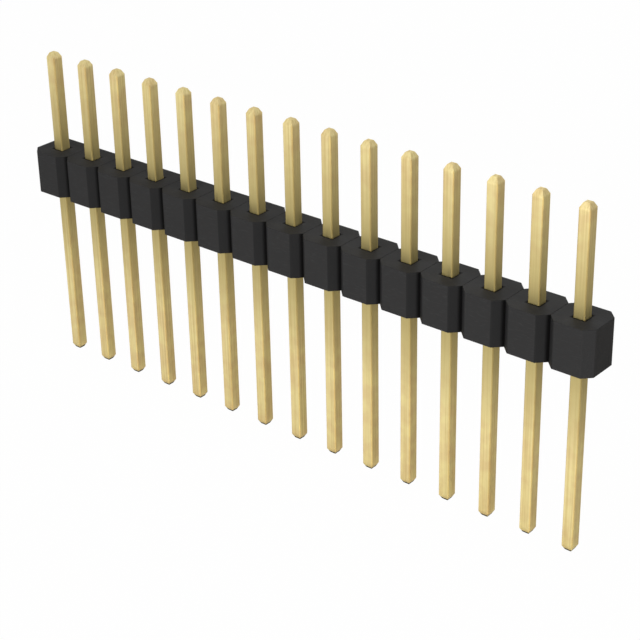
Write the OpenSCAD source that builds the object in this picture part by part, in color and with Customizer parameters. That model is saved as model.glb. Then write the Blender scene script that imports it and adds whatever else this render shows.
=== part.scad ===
// Straight pin header strip: a single row of square posts, pressed through a
// housing that is moulded as a chain of bevelled blocks, one block to each pin.
// Millimetres. X runs along the row, +Z points to the mating side, and the
// origin is the middle of the housing's underside, which seats on the board.

/* [Strip] */
// Number of pins in the row
positions = 15; // [1:1:40]
// Distance from the middle of one pin to the next, and so the width of a block
pitch = 2.54; // [2:0.01:4]

/* [Housing] */
// Height of the housing above the board
housing_h = 2.54; // [1.5:0.01:6]
// Depth of the housing from front to back
housing_d = 2.54; // [1.8:0.01:5]
// Leg of the 45 degree bevel down each upright corner of a block
bevel = 0.47; // [0.2:0.01:0.7]
// Radius that softens the upright edges of the bevels
bevel_r = 0.1; // [0.02:0.01:0.2]
// Radius that softens the top and bottom edges of every block
rim_r = 0.03; // [0.02:0.01:0.15]
// Width and depth of the 45 degree lead-in round the mouth of each hole
lead_in = 0.06; // [0.02:0.01:0.15]

/* [Pins] */
// Width of the square wire across its flats
pin_w = 0.64; // [0.4:0.01:0.9]
// Radius drawn along the four edges of the wire
pin_edge_r = 0.06; // [0.02:0.01:0.15]
// Length of post above the housing, for the mating socket
post_len = 5.86; // [3:0.01:20]
// Length of tail below the housing, for the board
tail_len = 10.6; // [2:0.01:25]
// Length of the swaged taper at each end of a pin
taper_len = 0.32; // [0.2:0.01:0.6]
// Width of the blunt end that the taper leaves
blunt_w = 0.31; // [0.2:0.01:0.38]
// Radius that runs the taper into the flats
shoulder_r = 0.3; // [0.05:0.01:0.4]
// Radius that rolls the taper over into the blunt end
crown_r = 0.12; // [0.02:0.01:0.2]

/* [Fit] */
// Gap between the wire and each side of its hole; 0 is the press fit
hole_gap = 0; // [0:0.01:0.1]

/* [Hidden] */
$fn = 48;
housing_color = [0.16, 0.16, 0.17];
pin_color = [0.83, 0.69, 0.36];
// How far a cutting shape runs past the solid that it cuts
over = 0.5;
hole_w = pin_w + 2 * hole_gap;
pin_len = post_len + housing_h + tail_len;
// Distance between the two bevel faces that lie across a block from each other
across_bevels = (pitch + housing_d - 2 * bevel) / sqrt(2);

function pin_x(i) = (i - (positions - 1) / 2) * pitch;
function pin_name(i) = str("pin_", i < 9 ? "0" : "", i + 1);

function unit(v) = v / norm(v);
function before(list, i) = list[(i + len(list) - 1) % len(list)];
function after(list, i) = list[(i + 1) % len(list)];
// Unit vectors along the two sides that leave corner i
function sides(points, i) = [
    unit(before(points, i) - points[i]),
    unit(after(points, i) - points[i])
];
function half_angle(points, i) =
    let (s = sides(points, i)) acos(s[0] * s[1]) / 2;
// Where a rounding of radius r leaves the two sides of corner i
function tangent_points(points, i, r) =
    [for (s = sides(points, i)) points[i] + s * r / tan(half_angle(points, i))];
function rounding_centre(points, i, r) =
    let (s = sides(points, i))
    points[i] + unit(s[0] + s[1]) * r / sin(half_angle(points, i));

// A convex outline whose corner i is rounded with radius radii[i]
module rounded_outline(points, radii) {
    last = len(points) - 1;
    polygon([
        for (i = [0:last])
            for (p = radii[i] > 0 ? tangent_points(points, i, radii[i]) : [points[i]]) p
    ]);
    for (i = [0:last])
        if (radii[i] > 0)
            translate(rounding_centre(points, i, radii[i])) circle(radii[i]);
}

// A bar along X with its long edges rounded; block edges are its edges
module rimmed_bar(width, length) {
    w = width / 2;
    corners = [[-w, 0], [w, 0], [w, housing_h], [-w, housing_h]];
    rotate([90, 0, 90])
        linear_extrude(height = length, center = true)
            rounded_outline(corners, [for (c = corners) rim_r]);
}

// Plan of one block. The corners that join the next block stay sharp.
module block_plan(left_r, right_r) {
    x = pitch / 2;
    y = housing_d / 2;
    rounded_outline(
        [
            [x, -y + bevel], [x, y - bevel], [x - bevel, y], [-x + bevel, y],
            [-x, y - bevel], [-x, -y + bevel], [-x + bevel, -y], [x - bevel, -y]
        ],
        [right_r, right_r, bevel_r, bevel_r, left_r, left_r, bevel_r, bevel_r]
    );
}

// One bevelled block: its plan, with every top and bottom edge rounded
module block(i) {
    reach = 2 * (pitch + housing_d);
    intersection() {
        linear_extrude(height = housing_h)
            block_plan(i == 0 ? bevel_r : 0, i == positions - 1 ? bevel_r : 0);
        rimmed_bar(housing_d, reach);
        rotate([0, 0, 90]) rimmed_bar(pitch, reach);
        rotate([0, 0, 45]) rimmed_bar(across_bevels, reach);
        rotate([0, 0, -45]) rimmed_bar(across_bevels, reach);
    }
}

// Side view of the square funnel at the mouth of a hole, opening upwards from z = 0
module mouth_side() {
    w = hole_w / 2;
    flare = w + lead_in + over;
    rotate([90, 0, 0])
        linear_extrude(height = 2 * flare, center = true)
            polygon([[-w, -lead_in], [w, -lead_in], [flare, over], [-flare, over]]);
}

module mouth() {
    intersection() {
        mouth_side();
        rotate([0, 0, 90]) mouth_side();
    }
}

// The hole that a pin is pressed into, with a lead-in at each end
module pin_hole() {
    translate([-hole_w / 2, -hole_w / 2, -over]) cube([hole_w, hole_w, housing_h + 2 * over]);
    translate([0, 0, housing_h]) mouth();
    mirror([0, 0, 1]) mouth();
}

module housing() {
    color(housing_color)
        difference() {
            union() {
                for (i = [0:positions - 1]) translate([pin_x(i), 0, 0]) block(i);
            }
            for (i = [0:positions - 1]) translate([pin_x(i), 0, 0]) pin_hole();
        }
}

// Side view of a pin, with the swaged taper at both ends
module pin_side() {
    w = pin_w / 2;
    b = blunt_w / 2;
    top = housing_h + post_len;
    bottom = -tail_len;
    rounded_outline(
        [
            [w, bottom + taper_len], [w, top - taper_len], [b, top], [-b, top],
            [-w, top - taper_len], [-w, bottom + taper_len], [-b, bottom], [b, bottom]
        ],
        [shoulder_r, shoulder_r, crown_r, crown_r, shoulder_r, shoulder_r, crown_r, crown_r]
    );
}

module pin_section() {
    w = pin_w / 2;
    corners = [[-w, -w], [w, -w], [w, w], [-w, w]];
    rounded_outline(corners, [for (c = corners) pin_edge_r]);
}

module pin() {
    color(pin_color)
        intersection() {
            translate([0, 0, -tail_len]) linear_extrude(height = pin_len) pin_section();
            rotate([90, 0, 0]) linear_extrude(height = 2 * pin_w, center = true) pin_side();
            rotate([90, 0, 90]) linear_extrude(height = 2 * pin_w, center = true) pin_side();
        }
}

housing();
for (i = [0:positions - 1])
    translate([pin_x(i), 0, 0]) pin();
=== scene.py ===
# %% [markdown]
# A straight pin header strip is a row of square gilt pins, pressed through a chain of black
# moulded blocks. Its shapes could be modelled again here, from boxes with bevels, but the CAD
# solids are already true, down to their rounded edges, score lines and swaged tips. They are
# loaded at their real size and stay as they are. What is left for this script is what the eye
# judges the strip by: the camera, the light, the matt black plastic and the plated wire.

# %% Load the strip
import math

import bpy
from mathutils import Matrix, Vector


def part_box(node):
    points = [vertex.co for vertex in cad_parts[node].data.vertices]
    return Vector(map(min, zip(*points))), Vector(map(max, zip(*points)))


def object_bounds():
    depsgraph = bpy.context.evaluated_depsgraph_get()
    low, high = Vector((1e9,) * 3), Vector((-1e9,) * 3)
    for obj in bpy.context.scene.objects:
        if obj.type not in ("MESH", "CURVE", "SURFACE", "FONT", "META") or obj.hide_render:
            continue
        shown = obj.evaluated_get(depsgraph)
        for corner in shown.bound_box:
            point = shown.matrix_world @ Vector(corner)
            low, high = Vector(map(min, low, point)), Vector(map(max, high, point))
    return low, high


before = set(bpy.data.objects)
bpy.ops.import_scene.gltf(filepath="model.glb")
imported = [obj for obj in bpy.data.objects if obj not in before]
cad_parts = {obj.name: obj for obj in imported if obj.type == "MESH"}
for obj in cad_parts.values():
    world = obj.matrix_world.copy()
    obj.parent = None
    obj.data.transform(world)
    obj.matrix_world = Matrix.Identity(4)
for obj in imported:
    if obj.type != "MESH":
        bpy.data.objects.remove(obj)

MM = 0.001

cad_low, cad_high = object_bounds()
housing_low, housing_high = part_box("housing")
pin_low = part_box("pin_01")[0]
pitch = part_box("pin_02")[0].x - pin_low.x
pins = sorted(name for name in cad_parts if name.startswith("pin_"))
print(len(pins), "pins,", round(pitch / MM, 2), "mm apart, end at", round(pin_low.z / MM, 2), "mm")

# %% [markdown]
# The camera stands in front of the strip and to its right, and looks down on it from a hand's
# width away with a long lens. It could be aimed by a constraint that tracks the strip, but
# that would level the picture, which has a slight roll, so three turns aim it. A pin header is
# so small that the clipping distance has to be brought in, or the near pins would be cut off.

# %% Camera
CAMERA_PLACE = Vector((56.129, -64.301, 40.317)) * MM
CAMERA_AZIMUTH = 40.267
CAMERA_ELEVATION = 27.037
CAMERA_ROLL = -1.194
# A camera that isn't turned looks straight down, and this turn brings it level.
DOWN_TO_LEVEL = 90
SENSOR_MM = 36.0
LENS_MM = 99.583
CLIP_START_MM = 1.0
CLIP_END_M = 20.0

camera_data = bpy.data.cameras.new("product_camera")
camera_data.sensor_width = SENSOR_MM
camera_data.lens = LENS_MM
camera_data.clip_start = CLIP_START_MM * MM
camera_data.clip_end = CLIP_END_M
camera = bpy.data.objects.new("product_camera", camera_data)
turn = (
    Matrix.Rotation(math.radians(CAMERA_AZIMUTH), 4, "Z")
    @ Matrix.Rotation(math.radians(DOWN_TO_LEVEL - CAMERA_ELEVATION), 4, "X")
    @ Matrix.Rotation(math.radians(CAMERA_ROLL), 4, "Z")
)
camera.matrix_world = Matrix.Translation(CAMERA_PLACE) @ turn
bpy.context.scene.collection.objects.link(camera)
bpy.context.scene.camera = camera
bpy.context.scene.view_settings.view_transform = "Standard"
print("camera", round(CAMERA_PLACE.length / MM, 1), "mm from the middle of the strip")

# %% [markdown]
# A person picks colours as sRGB hex values, the way a paint program shows them, but shaders
# count in linear light. Each colour could be looked up by hand in linear numbers, but nobody
# can read those back as a colour, so one helper turns every hex value into linear light.

# %% Colours in linear light
# The sRGB curve is a straight line near black and a power above it.
SRGB_LINE_ENDS = 0.04045
SRGB_LINE_SLOPE = 12.92
SRGB_OFFSET = 0.055
SRGB_SCALE = 1.055
SRGB_POWER = 2.4
FULL_SHADE = 255
OPAQUE = 1.0
HALF_GREY = "BCBCBC"


def linear(hex_colour):
    """The linear RGBA of an sRGB colour written as six hex digits."""
    shades = [int(hex_colour[i:i + 2], 16) / FULL_SHADE for i in (0, 2, 4)]
    light = [
        shade / SRGB_LINE_SLOPE
        if shade <= SRGB_LINE_ENDS
        else ((shade + SRGB_OFFSET) / SRGB_SCALE) ** SRGB_POWER
        for shade in shades
    ]
    return (*light, OPAQUE)


print("the grey", HALF_GREY, "is", round(linear(HALF_GREY)[0], 2), "in linear light")

# %% [markdown]
# Every material below is a small network of nodes. Each node could be made, set and linked on
# lines of its own, but a network then fills pages, so one helper adds a node with its settings
# and links. A number stands for a socket that has no name of its own, and a node can be linked
# from as it is, because its first output that is in use is meant. Patterns are given by their
# real size, because a noise texture's scale says how often it repeats in a metre.


# %% Helpers for the materials
def add_node(tree, kind, settings=None, **inputs):
    """Adds a node. Settings are its properties; an input is a value, a socket or a node."""
    node = tree.nodes.new(kind)
    for name, value in (settings or {}).items():
        setattr(node, name, value)
    in_use = [socket for socket in node.inputs if socket.enabled]
    for name, value in inputs.items():
        if name.startswith("_"):
            socket = in_use[int(name[1:])]
        else:
            socket = next(s for s in in_use if s.name == name.replace("_", " "))
        if isinstance(value, bpy.types.Node):
            value = next(s for s in value.outputs if s.enabled)
        if isinstance(value, bpy.types.NodeSocket):
            tree.links.new(value, socket)
        else:
            socket.default_value = value
    return node


def new_material(name):
    """A material with an empty network of nodes, and that network."""
    material = bpy.data.materials.new(name)
    material.use_nodes = True
    material.node_tree.nodes.clear()
    return material, material.node_tree


def per_metre(size_mm):
    """The texture scale at which one feature of a pattern is size_mm across."""
    return 1 / (size_mm * MM)


def dress(node_names, material):
    """Puts one material on every slot of the named solids."""
    for name in node_names:
        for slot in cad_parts[name].material_slots:
            slot.material = material


print("a pattern as wide as the pitch has scale", round(per_metre(pitch / MM)))

# %% [markdown]
# Under soft lamps white paper and cloth come out pale grey. Stronger lamps could bleach them,
# but they would bleach the strip too. The white could be painted in afterwards, but then the
# metal would not mirror it. Every ray knows what sent it out, so one helper tells a material
# which rays come from the camera and which from gloss or glass, and it can answer each in its
# own way.

# %% Rays that see the white
# A strength of 1 is white in the picture.
FULL_WHITE = 1.0


def seen_by(tree):
    """Sockets that are 1 for camera rays, and for the rays that gloss and glass send out."""
    rays = add_node(tree, "ShaderNodeLightPath")
    mirrored = add_node(
        tree, "ShaderNodeMath", {"operation": "MAXIMUM"},
        _0=rays.outputs["Is Glossy Ray"], _1=rays.outputs["Is Transmission Ray"],
    )
    return rays.outputs["Is Camera Ray"], mirrored.outputs[0]


print("white has strength", FULL_WHITE)

# %% [markdown]
# The strip is pictured over plain matt paper, level with the tails' tips and a little warm in
# tone. It could be one diffuse white, but that turns grey. So the camera sees an even white,
# with so little of the lit paper mixed in that the strip's shadow is no more than a trace.
# Metal is only as bright as what it mirrors, and it mirrors the paper in front of the strip
# whiter than the paper behind it. All other light meets plain matt paper.

# %% Matt white paper
PAPER_WHITE = "F2EBDD"
CAMERA_WHITE_SHARE = 0.99
MIRRORED_BEHIND = 0.1
MIRRORED_IN_FRONT = 0.7
TO_FRONT = (0.0, -1.0, 0.0)
WHITER_FROM_MM = -1.0
WHITER_TO_MM = 3.0


def white_paper():
    """Matt white paper: no shine, and only a trace of the strip's shadow for the camera."""
    material, tree = new_material("matt_white_paper")
    to_camera, mirrored = seen_by(tree)
    place = add_node(tree, "ShaderNodeTexCoord").outputs["Object"]
    forward = add_node(
        tree, "ShaderNodeVectorMath", {"operation": "DOT_PRODUCT"}, _0=place, _1=TO_FRONT
    )
    whiter = add_node(
        tree, "ShaderNodeMapRange", Value=forward,
        From_Min=WHITER_FROM_MM * MM, From_Max=WHITER_TO_MM * MM,
        To_Min=MIRRORED_BEHIND, To_Max=MIRRORED_IN_FRONT,
    )
    seen = add_node(
        tree, "ShaderNodeMath", {"operation": "MULTIPLY"}, _0=to_camera, _1=CAMERA_WHITE_SHARE
    )
    share = add_node(
        tree, "ShaderNodeMath", {"operation": "MULTIPLY_ADD"}, _0=mirrored, _1=whiter, _2=seen
    )
    lit = add_node(tree, "ShaderNodeBsdfDiffuse", Color=linear(PAPER_WHITE))
    white = add_node(tree, "ShaderNodeEmission", Strength=FULL_WHITE)
    surface = add_node(tree, "ShaderNodeMixShader", _0=share, _1=lit, _2=white)
    add_node(tree, "ShaderNodeOutputMaterial", Surface=surface)
    return material


paper = white_paper()
print(paper.name, "has", len(paper.node_tree.nodes), "nodes")

# %% [markdown]
# The paper lies flat and reaches far past the picture on all sides. A grid that bends up into
# a backdrop would do as well, but the tent behind it is white too, so one large square with no
# thickness is enough, and it takes no part in the strip's size.

# %% Floor
FLOOR_REACH = 3.0
SQUARE = ((-1, -1), (1, -1), (1, 1), (-1, 1))

floor_mesh = bpy.data.meshes.new("floor")
corners = [(x * FLOOR_REACH, y * FLOOR_REACH, cad_low.z) for x, y in SQUARE]
floor_mesh.from_pydata(corners, [], [(0, 1, 2, 3)])
floor_mesh.materials.append(paper)
floor = bpy.data.objects.new("floor", floor_mesh)
bpy.context.scene.collection.objects.link(floor)
print("floor at", round(cad_low.z / MM, 2), "mm")

# %% [markdown]
# Small shiny things are pictured in a light tent, white cloth all round that hides the room
# from the metal. It could be modelled as a dome, but the world already surrounds everything
# and needs no surface. The camera sees it white. The metal mirrors it dimmer, which gives gold
# its depth, and it adds little light of its own, so that the lamps do the shading.

# %% Light tent
TENT_WHITE = "FFFFFF"
TENT_MIRRORED = 0.616
TENT_LIGHT = 0.04


def light_tent():
    """The light tent: white to the camera, dimmer in the metal, and little light of its own."""
    world = bpy.data.worlds.new("light_tent")
    world.use_nodes = True
    tree = world.node_tree
    tree.nodes.clear()
    to_camera, mirrored = seen_by(tree)
    tent = add_node(tree, "ShaderNodeMix", Factor=mirrored, A=TENT_LIGHT, B=TENT_MIRRORED)
    level = add_node(tree, "ShaderNodeMix", Factor=to_camera, A=tent, B=FULL_WHITE)
    light = add_node(tree, "ShaderNodeBackground", Color=linear(TENT_WHITE), Strength=level)
    add_node(tree, "ShaderNodeOutputWorld", Surface=light)
    return world


bpy.context.scene.world = light_tent()
print(bpy.context.scene.world.name, "mirrors at", TENT_MIRRORED, "and lights at", TENT_LIGHT)

# %% [markdown]
# Soft boxes light the strip, because small lamps would leave hard glints on the wire. Planes
# that glow could stand in for them, but area lamps do the same with less noise. A wide one
# stands low, in front of the strip and to its right. It lights the long side, so that the
# pins' front faces shine while their right faces stay darker, which is what makes square wire
# read as square. A weaker box overhead picks out the tips and the top of the housing, and one
# behind keeps the back readable when the camera goes round. The camera doesn't see the boxes.


# %% Lamps
def soft_box(name, place_mm, size_mm, watts):
    """A soft box, so wide and so high, that faces the middle of the strip."""
    data = bpy.data.lights.new(name, "AREA")
    data.shape = "RECTANGLE"
    data.size, data.size_y = (side * MM for side in size_mm)
    data.energy = watts
    lamp = bpy.data.objects.new(name, data)
    lamp.visible_camera = False
    lamp.location = Vector(place_mm) * MM
    lamp.rotation_mode = "QUATERNION"
    lamp.rotation_quaternion = (-lamp.location).to_track_quat("-Z", "Y")
    bpy.context.scene.collection.objects.link(lamp)
    return lamp


soft_boxes = [
    soft_box("front_box", place_mm=(60, -120, 20), size_mm=(220, 110), watts=0.19),
    soft_box("top_box", place_mm=(10, -25, 90), size_mm=(80, 60), watts=0.024),
    soft_box("back_box", place_mm=(-30, 130, 20), size_mm=(120, 40), watts=0.04),
]
print("lamps", [(lamp.name, round(lamp.data.energy, 3)) for lamp in soft_boxes])

# %% [markdown]
# Painted shade on the housing and the wire, and the wire's rougher edges, repeat with the pins.
# They could be painted by hand on every block and pin, but a rule does it once for all. Because a
# pin stands at every multiple of the pitch, a ping-pong of half a pitch along the row gives the
# distance to the nearest pin, and the distance across the row needs no more than losing its sign.


# %% Distances from the pins
def pin_distances(tree, place):
    """Nodes with the distance from the nearest pin's axis, along the row and across it."""
    axes = add_node(tree, "ShaderNodeSeparateXYZ", Vector=place)
    along = add_node(
        tree, "ShaderNodeMath", {"operation": "PINGPONG"}, _0=axes.outputs["X"], _1=pitch / 2
    )
    across = add_node(tree, "ShaderNodeMath", {"operation": "ABSOLUTE"}, _0=axes.outputs["Y"])
    return along, across


print("the nearest pin is never more than", round(pitch / 2 / MM, 2), "mm away along the row")

# %% [markdown]
# Where the blocks meet, the mould leaves deep notches. Shade falls in them, so their bevels are
# painted a darker black. Near black is painted at the bottom of each notch and round the mouth of
# each hole, where light is lost. This could be baked from the shapes into a picture, but a few
# distances say it as well and stay sharp at any size. Each mask fades in from the first of its two
# distances to the second.

# %% Painted shade on the housing
BEVEL_MM = 0.47
# Into the block from the face of a bevel
NOTCH_FROM_MM = 0.07
NOTCH_TO_MM = 0.02
# Along the row from the joint of two blocks
VALLEY_FROM_MM = 0.17
VALLEY_TO_MM = 0.06
# Out from the middle of a pin, in a square
MOUTH_FROM_MM = 0.47
MOUTH_TO_MM = 0.42
# The outer bevels of the end blocks are no notches, so the mask stops at the end pins.
END_EDGE_MM = 0.01
flank = housing_high.y - BEVEL_MM * MM
last_pin = housing_high.x - pitch / 2


def painted_housing_shade(tree, place):
    """Painted shade: sockets that are 1 on the notches' bevels, and 1 in the valleys and mouths
    where light is lost.
    """
    along, across = pin_distances(tree, place)
    to_joint = add_node(
        tree, "ShaderNodeMath", {"operation": "SUBTRACT"}, _0=pitch / 2, _1=along
    )
    row = add_node(tree, "ShaderNodeSeparateXYZ", Vector=place).outputs["X"]
    from_middle = add_node(tree, "ShaderNodeMath", {"operation": "ABSOLUTE"}, _0=row)
    inner = add_node(
        tree, "ShaderNodeMapRange", Value=from_middle,
        From_Min=last_pin + END_EDGE_MM * MM, From_Max=last_pin,
    )
    outwards = add_node(tree, "ShaderNodeMath", {"operation": "SUBTRACT"}, _0=across, _1=flank)
    inset = add_node(
        tree, "ShaderNodeMath", {"operation": "SUBTRACT"}, _0=to_joint, _1=outwards
    )
    notch = add_node(
        tree, "ShaderNodeMapRange", Value=inset,
        From_Min=NOTCH_FROM_MM * MM, From_Max=NOTCH_TO_MM * MM, To_Max=inner,
    )
    valley = add_node(
        tree, "ShaderNodeMapRange", Value=to_joint,
        From_Min=VALLEY_FROM_MM * MM, From_Max=VALLEY_TO_MM * MM, To_Max=notch,
    )
    from_pin = add_node(tree, "ShaderNodeMath", {"operation": "MAXIMUM"}, _0=along, _1=across)
    mouth = add_node(
        tree, "ShaderNodeMapRange", Value=from_pin,
        From_Min=MOUTH_FROM_MM * MM, From_Max=MOUTH_TO_MM * MM,
    )
    dark = add_node(tree, "ShaderNodeMath", {"operation": "MAXIMUM"}, _0=valley, _1=mouth)
    return notch.outputs[0], dark.outputs[0]


print("bevels from", round(flank / MM, 2), "mm out, end pins at", round(last_pin / MM, 2), "mm")

# %% [markdown]
# The housing is injection-moulded, glass-filled polyester, a thermoplastic that stands the heat of
# soldering. Glass fibres near its skin show as faint grey flecks, drawn out along the flow of the
# melt. The open faces are charcoal, and the notches, their valleys and the hole mouths are painted
# darker for their shade. One dark grey would be the short way, but it looks like card, so the
# flecks are the peaks of a stretched noise. Fibres are really 0.01 mm thick, too fine to show at
# this size, and are drawn at 0.05 mm.

# %% Colours of the moulded plastic
# Painted shade: a darker black on the notches' bevels, and near black in their valleys and round
# the hole mouths.
PLASTIC_NOTCH_SHADE = "2B2B2C"
PLASTIC_CHARCOAL = "383839"
PLASTIC_FIBRE = "424244"
PLASTIC_SHADED = "060606"
FIBRE_MM = 0.05
FIBRE_STRETCH = 7.0
FIBRE_DETAIL = 1.0
FLECK_FROM = 0.58
FLECK_TO = 0.72
FLECK_SHARE = 0.6
BLEND_COLOURS = {"data_type": "RGBA"}


def charcoal_skin(tree, place):
    """A node with the plastic's colour: charcoal with flecks, and painted shade in the notches and
    holes.
    """
    drawn_out = add_node(
        tree, "ShaderNodeMapping", Vector=place, Scale=(1 / FIBRE_STRETCH, 1, 1)
    )
    fibres = add_node(
        tree, "ShaderNodeTexNoise", Vector=drawn_out,
        Scale=per_metre(FIBRE_MM), Detail=FIBRE_DETAIL,
    )
    flecks = add_node(
        tree, "ShaderNodeMapRange", Value=fibres,
        From_Min=FLECK_FROM, From_Max=FLECK_TO, To_Max=FLECK_SHARE,
    )
    proud = add_node(
        tree, "ShaderNodeMix", BLEND_COLOURS,
        Factor=flecks, A=linear(PLASTIC_CHARCOAL), B=linear(PLASTIC_FIBRE),
    )
    notch, dark = painted_housing_shade(tree, place)
    # Painted shade in the notches, then near black in the valleys and hole mouths
    skin = add_node(
        tree, "ShaderNodeMix", BLEND_COLOURS, Factor=notch, A=proud, B=linear(PLASTIC_NOTCH_SHADE)
    )
    return add_node(
        tree, "ShaderNodeMix", BLEND_COLOURS, Factor=dark, A=skin, B=linear(PLASTIC_SHADED)
    )


print("fibres", FIBRE_MM, "mm thick and", round(FIBRE_MM * FIBRE_STRETCH, 2), "mm long")

# %% [markdown]
# The housing's mould is spark-eroded, which leaves a fine matt grain, and the melt leaves
# patches of slightly different sheen about as wide as the wall between two pins. To the eye
# that is a soft charcoal black without a gleam. The grain could be cut into the mesh, but it
# would take millions of faces, and bump shades it just as well. Real grain is about 0.02 mm,
# too fine to show at this size, so it is drawn at 0.09 mm.

# %% Moulded black thermoplastic
PLASTIC_IOR = 1.55
PLASTIC_SPECULAR = 0.08
PLASTIC_SMOOTHEST = 0.55
PLASTIC_ROUGHEST = 0.65
GRAIN_MM = 0.09
GRAIN_DETAIL = 3.0
GRAIN_DEPTH_MM = 0.004
GRAIN_STRENGTH = 0.5
FLOW_MM = 1.6
FLOW_DETAIL = 2.0
# A noise seldom leaves this middle part of 0 to 1.
NOISE_LOW = 0.3
NOISE_HIGH = 0.7


def moulded_plastic():
    """Black polyester off a spark-eroded mould: matt charcoal with faint grey flecks."""
    material, tree = new_material("glass_filled_black_polyester")
    place = add_node(tree, "ShaderNodeTexCoord").outputs["Object"]
    flow = add_node(
        tree, "ShaderNodeTexNoise", Vector=place, Scale=per_metre(FLOW_MM), Detail=FLOW_DETAIL
    )
    grain = add_node(
        tree, "ShaderNodeTexNoise", Vector=place, Scale=per_metre(GRAIN_MM), Detail=GRAIN_DETAIL
    )
    roughness = add_node(
        tree, "ShaderNodeMapRange", Value=flow, From_Min=NOISE_LOW, From_Max=NOISE_HIGH,
        To_Min=PLASTIC_SMOOTHEST, To_Max=PLASTIC_ROUGHEST,
    )
    bump = add_node(
        tree, "ShaderNodeBump", Strength=GRAIN_STRENGTH, Distance=GRAIN_DEPTH_MM * MM,
        Height=grain,
    )
    shader = add_node(
        tree, "ShaderNodeBsdfPrincipled", Base_Color=charcoal_skin(tree, place),
        Roughness=roughness, Normal=bump,
        IOR=PLASTIC_IOR, Specular_IOR_Level=PLASTIC_SPECULAR,
    )
    add_node(tree, "ShaderNodeOutputMaterial", Surface=shader)
    return material


plastic = moulded_plastic()
dress(["housing"], plastic)
print(plastic.name, "has", len(plastic.node_tree.nodes), "nodes")

# %% [markdown]
# The wire is painted darker beside the housing, for the shade that the housing casts on it. The
# darkening is gone towards the tips, so the wire deepens in tone on its way in. The tails' very
# ends are painted a dark brass-brown for the shade on their tips, whose bevels face down. Both
# could be separate materials on separate faces, but painted shade has no edge, and both follow the
# height, so one coordinate is all that they need.

# %% Painted shade by the housing and on the tails' tips
# The painted shade is full up to the first distance from the housing, and gone at the second.
HOUSING_SHADE_FROM_MM = 0.5
HOUSING_SHADE_TO_MM = 5.3
# Height of the painted shade on the tails' tips, and of the seam where the gold begins
TIP_SHADE_MM = 0.15
TIP_SHADE_EDGE_MM = 0.02


def housing_and_tip_shade(tree, place):
    """Sockets for painted shade: 1 beside the housing, and 1 on the tails' tips."""
    height = add_node(tree, "ShaderNodeSeparateXYZ", Vector=place).outputs["Z"]
    above = add_node(
        tree, "ShaderNodeMath", {"operation": "SUBTRACT"}, _0=height, _1=housing_high.z
    )
    below = add_node(
        tree, "ShaderNodeMath", {"operation": "SUBTRACT"}, _0=housing_low.z, _1=height
    )
    clear = add_node(tree, "ShaderNodeMath", {"operation": "MAXIMUM"}, _0=above, _1=below)
    shade_by_housing = add_node(
        tree, "ShaderNodeMapRange", Value=clear,
        From_Min=HOUSING_SHADE_TO_MM * MM, From_Max=HOUSING_SHADE_FROM_MM * MM,
    )
    tip_shade = add_node(
        tree, "ShaderNodeMapRange", Value=height,
        From_Min=pin_low.z + (TIP_SHADE_MM + TIP_SHADE_EDGE_MM) * MM,
        From_Max=pin_low.z + TIP_SHADE_MM * MM,
    )
    return shade_by_housing.outputs[0], tip_shade.outputs[0]


# Below this height the tails' tips are painted a dark shade.
print("bare brass below", round(pin_low.z / MM + TIP_SHADE_MM, 2), "mm")

# %% [markdown]
# The wire's four edges are made rougher than its flats and painted a touch darker, which tones
# down the highlight that they catch. Blender can find edges by how sharply a mesh bends, but that
# hangs on how finely the mesh is cut. A point lies on an edge where it is far from the middle of
# its pin in both directions, so two distances find it.

# %% Rough edges with painted shade
EDGE_FROM_MM = 0.25
EDGE_TO_MM = 0.29


def on_edge(tree, place):
    """A socket that is 1 on the four rounded edges of the wire."""
    along, across = pin_distances(tree, place)
    least = add_node(tree, "ShaderNodeMath", {"operation": "MINIMUM"}, _0=along, _1=across)
    edge = add_node(
        tree, "ShaderNodeMapRange", Value=least,
        From_Min=EDGE_FROM_MM * MM, From_Max=EDGE_TO_MM * MM,
    )
    return edge.outputs[0]


print("edges from", EDGE_TO_MM, "mm out in both directions")

# %% [markdown]
# The wire is plated with nickel and then with a thin gold flash, which takes a little deeper in
# some patches than in others and shows the marks of drawing through it. One gold all over would be
# the short way, but it looks like paint. So two golds mix by a noise, the drawn lines shade them,
# and the masks above lay painted shade beside the housing, on the edges and on the tails' tips.

# %% Colours of the plating
GOLD_PALE = "F7E8AC"
GOLD_DEEP = "EFDAA2"
# Painted shade: a darker gold beside the housing.
GOLD_PAINTED_SHADE = "C8B87F"
LINE_SHADE = "EFECE6"
# Painted shade: the edges a touch darker, which tones down the highlight on them.
EDGE_PAINTED_SHADE = "F6F4F0"
# Painted shade: a dark brass-brown on the tails' tips, whose bevels face down.
TIP_PAINTED_SHADE = "4A4231"
PATCH_MM = 0.8
PATCH_DETAIL = 2.0
DEEP_FROM = 0.35
DEEP_TO = 0.65
SCORED_FROM = 0.4
SCORED_TO = 0.65
MULTIPLY_COLOURS = {"data_type": "RGBA", "blend_type": "MULTIPLY"}


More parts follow.
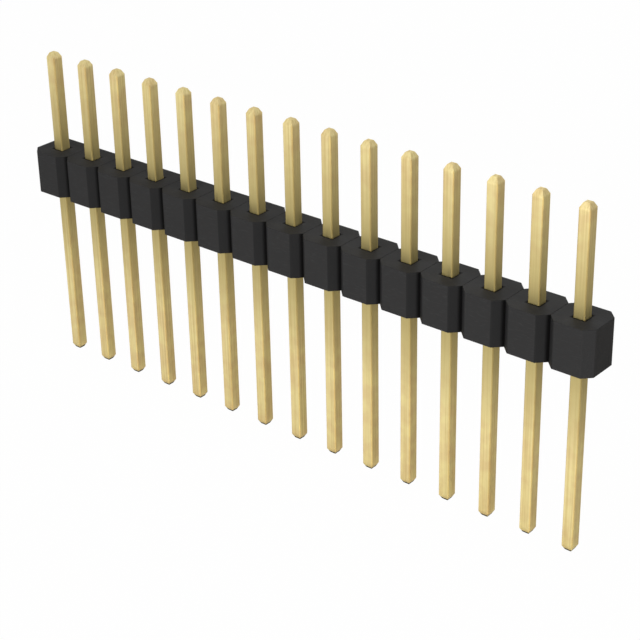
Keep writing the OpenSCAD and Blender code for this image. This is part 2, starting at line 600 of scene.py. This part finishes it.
def plating_colour(tree, place, lines, edge):
    """A node with the colour of the plating, from the drawn lines and the edges' mask."""
    patches = add_node(
        tree, "ShaderNodeTexNoise", Vector=place, Scale=per_metre(PATCH_MM), Detail=PATCH_DETAIL
    )
    deeper = add_node(
        tree, "ShaderNodeMapRange", Value=patches, From_Min=DEEP_FROM, From_Max=DEEP_TO
    )
    plating = add_node(
        tree, "ShaderNodeMix", BLEND_COLOURS,
        Factor=deeper, A=linear(GOLD_PALE), B=linear(GOLD_DEEP),
    )
    scored = add_node(
        tree, "ShaderNodeMapRange", Value=lines, From_Min=SCORED_FROM, From_Max=SCORED_TO
    )
    drawn = add_node(
        tree, "ShaderNodeMix", MULTIPLY_COLOURS, Factor=scored, A=plating, B=linear(LINE_SHADE)
    )
    shade_by_housing, tip_shade = housing_and_tip_shade(tree, place)
    # Painted shade beside the housing
    shaded_gold = add_node(
        tree, "ShaderNodeMix", BLEND_COLOURS, Factor=shade_by_housing, A=drawn, B=linear(GOLD_PAINTED_SHADE)
    )
    # Painted shade on the wire's edges
    edge_shaded = add_node(
        tree, "ShaderNodeMix", MULTIPLY_COLOURS, Factor=edge, A=shaded_gold, B=linear(EDGE_PAINTED_SHADE)
    )
    # Painted shade on the tails' tips
    return add_node(
        tree, "ShaderNodeMix", BLEND_COLOURS, Factor=tip_shade, A=edge_shaded, B=linear(TIP_PAINTED_SHADE)
    )


print("plating patches", PATCH_MM, "mm across")

# %% [markdown]
# The pins start as brass wire, drawn square through a die and swaged at the ends. Drawing
# leaves fine lines along the wire, which spread the shine, so the eye gets a pale gold satin
# and not a mirror. An anisotropic gloss could spread it too, but the lines would not be seen,
# so a long thin noise makes them. Real lines are a few thousandths of a millimetre apart, too
# fine to show, and are drawn at 0.12 mm. Gold is set by its colour alone: it is fully metallic
# and keeps the shader's own IOR.

# %% Gold-plated drawn wire
LINE_MM = 0.12
LINE_STRETCH = 60.0
LINE_DETAIL = 2.0
LINE_DEPTH_MM = 0.004
LINE_STRENGTH = 0.4
SATIN_SMOOTHEST = 0.5
SATIN_ROUGHEST = 0.64
EDGE_ROUGHNESS = 0.9


def plated_wire():
    """Gold flash over drawn brass: a pale satin gold with fine lines along the wire."""
    material, tree = new_material("gold_plated_drawn_brass")
    place = add_node(tree, "ShaderNodeTexCoord").outputs["Object"]
    drawn_out = add_node(
        tree, "ShaderNodeMapping", Vector=place, Scale=(1, 1, 1 / LINE_STRETCH)
    )
    lines = add_node(
        tree, "ShaderNodeTexNoise", Vector=drawn_out,
        Scale=per_metre(LINE_MM), Detail=LINE_DETAIL,
    )
    edge = on_edge(tree, place)
    satin = add_node(
        tree, "ShaderNodeMapRange", Value=lines, From_Min=NOISE_LOW, From_Max=NOISE_HIGH,
        To_Min=SATIN_SMOOTHEST, To_Max=SATIN_ROUGHEST,
    )
    roughness = add_node(tree, "ShaderNodeMix", Factor=edge, A=satin, B=EDGE_ROUGHNESS)
    bump = add_node(
        tree, "ShaderNodeBump", Strength=LINE_STRENGTH, Distance=LINE_DEPTH_MM * MM,
        Height=lines,
    )
    shader = add_node(
        tree, "ShaderNodeBsdfPrincipled", Base_Color=plating_colour(tree, place, lines, edge),
        Metallic=1.0, Roughness=roughness, Normal=bump,
    )
    add_node(tree, "ShaderNodeOutputMaterial", Surface=shader)
    return material


gold = plated_wire()
dress(pins, gold)
print(gold.name, "has", len(gold.node_tree.nodes), "nodes, on", len(pins), "pins")
